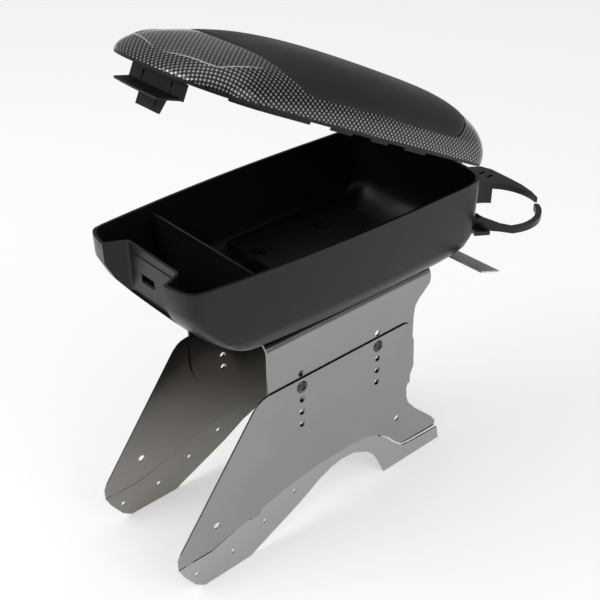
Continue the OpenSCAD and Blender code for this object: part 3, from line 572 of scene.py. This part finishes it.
def padForm():
    edge = padRing - np.sign(padRing - middle) * pad["gap"]
    rings = []
    for t in (0.3, 0.6, 0.85, 0.96, 0.99):
        p = toward(middle, edge, t)
        rings.append(lifted(p, shellHeight(p[:, 0], p[:, 1]) - lid["seat"] + pad["under"]))
    # Round over the edge, then the crown that swells towards the middle
    for t, drop in ((1.0, 3.0), (1.0, 1.2), (0.993, 0.1), (0.98, -0.5)):
        p = toward(middle, edge, t)
        rings.append(lifted(p, shellHeight(p[:, 0], p[:, 1]) - drop))
    for t in np.linspace(0.95, 0.05, pad["rings"]):
        p = toward(middle, edge, t)
        rings.append(lifted(p, shellHeight(p[:, 0], p[:, 1]) + pad["over"]
                            + pad["rise"] * (1 - t ** 6)))
    return rings


def readPoints(mesh, normals=False):
    found = np.zeros(3 * len(mesh.vertices))
    mesh.vertices.foreach_get("normal" if normals else "co", found)
    return found.reshape(-1, 3)


# The vinyl over its foam: an evenly remeshed copy swells as cloth under pressure, held at its
# edge and underside, and each point of the pad takes the average move around it, weighted by
# a bell curve of its distance
def puff(obj):
    sheet = bpy.data.objects.new("pad_cloth", obj.data.copy())
    bpy.context.scene.collection.objects.link(sheet)
    even = sheet.modifiers.new("even", "REMESH")
    even.mode = "VOXEL"
    even.voxel_size = pad["voxel"] * mm
    applyModifiers(sheet)
    rest = readPoints(sheet.data)
    up = np.array([0, -math.sin(openAngle), math.cos(openAngle)])
    held = np.flatnonzero(readPoints(sheet.data, True) @ up < pad["upright"])
    sheet.vertex_groups.new(name="held").add(held.tolist(), 1.0, "REPLACE")
    cloth = sheet.modifiers.new("cloth", "CLOTH")
    cloth.settings.quality = 6
    cloth.settings.mass = 0.3
    cloth.settings.vertex_group_mass = "held"
    cloth.settings.use_pressure = True
    cloth.settings.uniform_pressure_force = pad["pressure"]
    cloth.settings.effector_weights.gravity = 0
    scene = bpy.context.scene
    for frameNumber in range(1, pad["frames"] + 1):
        scene.frame_set(frameNumber)
    done = bpy.data.meshes.new_from_object(
        sheet.evaluated_get(bpy.context.evaluated_depsgraph_get()))
    moves = readPoints(done) - rest
    scene.frame_set(1)
    bpy.data.objects.remove(sheet)
    size = np.linalg.norm(moves, axis=1, keepdims=True)
    moves *= np.minimum(1, pad["cap"] * mm / np.maximum(size, 1e-9))
    points = readPoints(obj.data)
    for part in np.array_split(np.arange(len(points)), 16):
        apart = ((points[part][:, None] - rest[None]) ** 2).sum(2)
        weight = np.exp(-apart / (2 * (pad["spread"] * mm) ** 2))
        points[part] += weight @ moves / np.maximum(weight.sum(1, keepdims=True), 1e-12)
    obj.data.vertices.foreach_set("co", points.ravel())
    obj.data.update()
    print("pad swelled by", round(float(size.max()) / mm, 2), "mm at most before its cap")


def makePad():
    obj, _ = skinMesh("lid_pad_finished", padForm(), padVinyl)
    puff(obj)
    obj.data.shade_smooth()
    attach(obj, "lid")
    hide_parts("lid_pad")


makePad()
print("padded insert made")


# Floor, light and world

# reach is half the floor's side in metres, low and high the room's brightness in reflections
studio = {"floor": "#e8e8e8", "reach": 40.0, "glow": 0.42, "ambient": 0.5, "low": 0.3,
          "high": 0.95, "key": 10.0, "fill": 4.0}


# How much of the plain white backdrop a ray sees: camera and mirror rays all of it
def seenRays(tree):
    path = addNode(tree, "ShaderNodeLightPath")
    return addNode(tree, "ShaderNodeMath", {0: path.outputs["Is Camera Ray"],
                                            1: path.outputs["Is Glossy Ray"]},
                   operation="MAXIMUM").outputs[0]


def addFloor():
    mesh = bpy.data.meshes.new("floor")
    r = studio["reach"]
    mesh.from_pydata([(-r, -r, 0), (r, -r, 0), (r, r, 0), (-r, r, 0)], [], [(0, 1, 2, 3)])
    floor = bpy.data.objects.new("floor", mesh)
    bpy.context.scene.collection.objects.link(floor)
    mat, tree, shader = newMaterial("pale_floor", Roughness=0.9, Specular_IOR_Level=0.1,
                                    Emission_Color=(1, 1, 1, 1))
    shader.inputs["Base Color"].default_value = linear(studio["floor"])
    glow = addNode(tree, "ShaderNodeMath", {0: seenRays(tree), 1: studio["glow"]},
                   operation="MULTIPLY")
    wire(tree, glow.outputs[0], shader, "Emission Strength")
    mesh.materials.append(mat)


def addLamp(name, place, aim, size, power):
    data = bpy.data.lights.new(name, "AREA")
    data.shape = "RECTANGLE"
    data.size, data.size_y = size
    data.energy = power
    lamp = bpy.data.objects.new(name, data)
    bpy.context.scene.collection.objects.link(lamp)
    lamp.location = place
    lamp.rotation_euler = (Vector(aim) - Vector(place)).to_track_quat("-Z", "Y").to_euler()


# A white room whose ceiling is bright in reflections and whose walls are dim
def addWorld():
    world = bpy.data.worlds.new("studio")
    bpy.context.scene.world = world
    world.use_nodes = True
    tree = world.node_tree
    tree.nodes.clear()
    path = addNode(tree, "ShaderNodeLightPath")
    way = addNode(tree, "ShaderNodeSeparateXYZ", {
        "Vector": addNode(tree, "ShaderNodeTexCoord").outputs["Generated"]})
    ceiling = addNode(tree, "ShaderNodeMapRange", {"Value": way.outputs["Z"], "From Min": 0.62,
                                                   "From Max": 0.86, "To Min": studio["low"],
                                                   "To Max": studio["high"]},
                      interpolation_type="SMOOTHSTEP")
    shiny = addNode(tree, "ShaderNodeMix", {"Factor": path.outputs["Is Glossy Ray"],
                                            "A": studio["ambient"],
                                            "B": ceiling.outputs["Result"]})
    strength = addNode(tree, "ShaderNodeMath", {0: shiny.outputs["Result"],
                                                1: path.outputs["Is Camera Ray"]},
                       operation="MAXIMUM")
    sky = addNode(tree, "ShaderNodeBackground", {"Color": (1, 1, 1, 1),
                                                 "Strength": strength.outputs[0]})
    addNode(tree, "ShaderNodeOutputWorld", {"Surface": sky.outputs["Background"]})


addFloor()
addLamp("key", (-0.6, -1.2, 1.5), (0, 0, 0.25), (1.2, 0.8), studio["key"])
addLamp("fill", (1.4, 0.2, 1.0), (0, 0, 0.2), (1.0, 1.0), studio["fill"])
addWorld()
bpy.context.scene.view_settings.view_transform = "Standard"
print("studio made")
